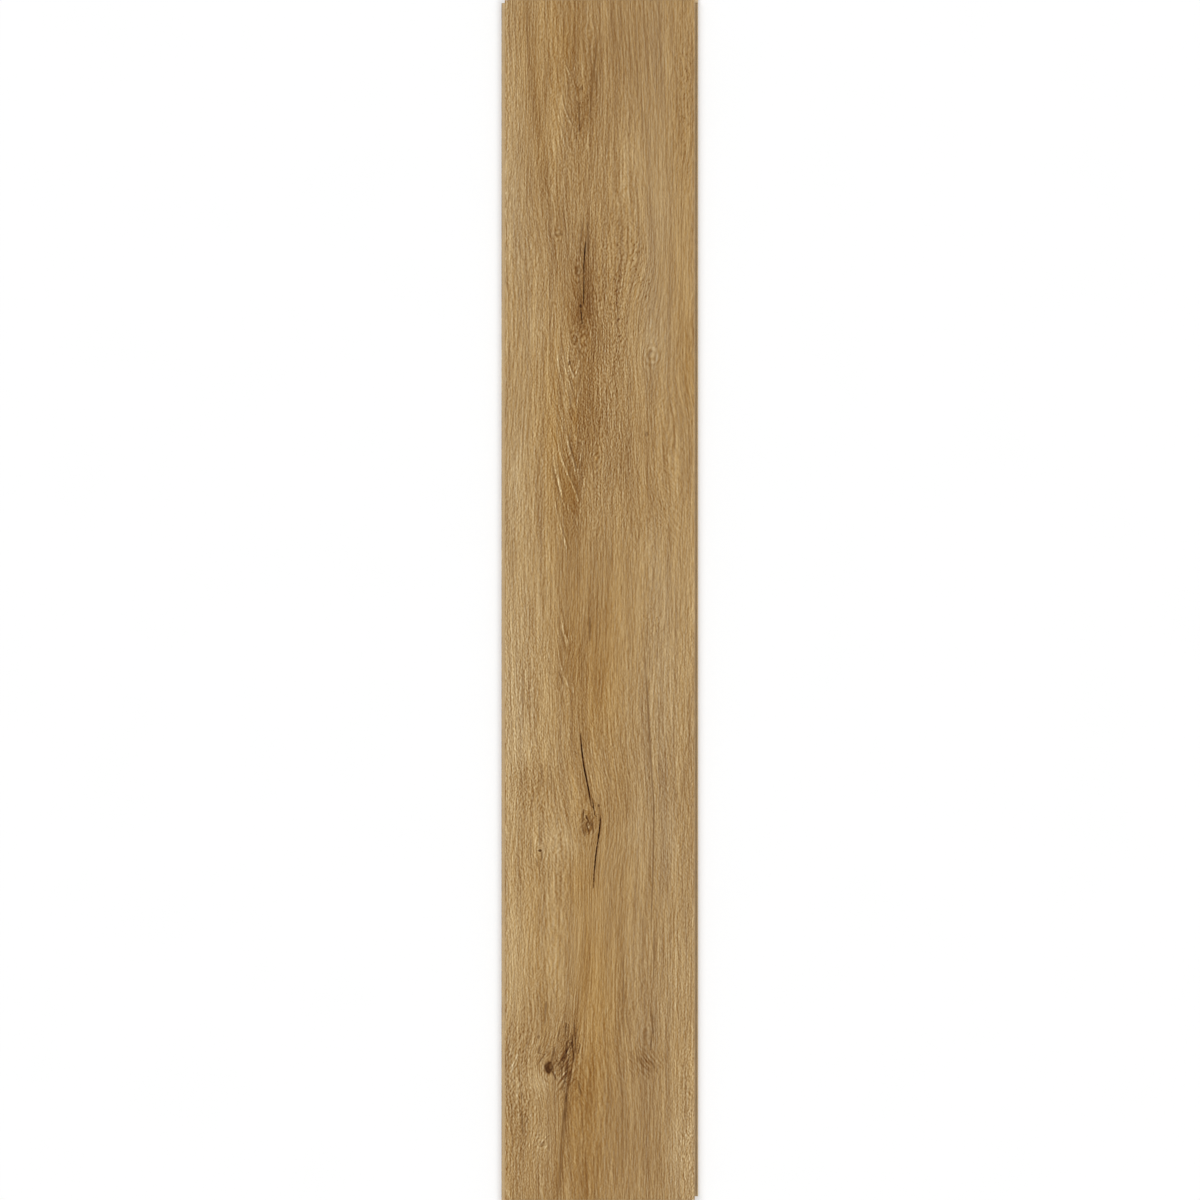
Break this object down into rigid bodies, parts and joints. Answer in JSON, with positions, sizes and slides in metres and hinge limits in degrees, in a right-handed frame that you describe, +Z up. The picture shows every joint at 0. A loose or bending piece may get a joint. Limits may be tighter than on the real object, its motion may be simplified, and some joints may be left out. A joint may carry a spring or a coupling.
{
  "type": "laminate floor plank",
  "caption": "Flat laminate floor plank with a knotty oak decor face and a click tongue and groove milled along its sides and ends, laid with like planks as a floating floor.",
  "frame": {"origin": "middle of the face's outline, on the plane of the underside", "axes": "+Y along the plank towards its grooved end, +X across it towards its grooved side, +Z up out of the face"},
  "size_m": [0.1966, 1.2066, 0.008],
  "materials": {
    "oak_laminate": "matt embossed oak decor on a fibreboard core"
  },
  "bodies": {
    "root": {"plank": "oak_laminate"}
  },
  "joints": []
}
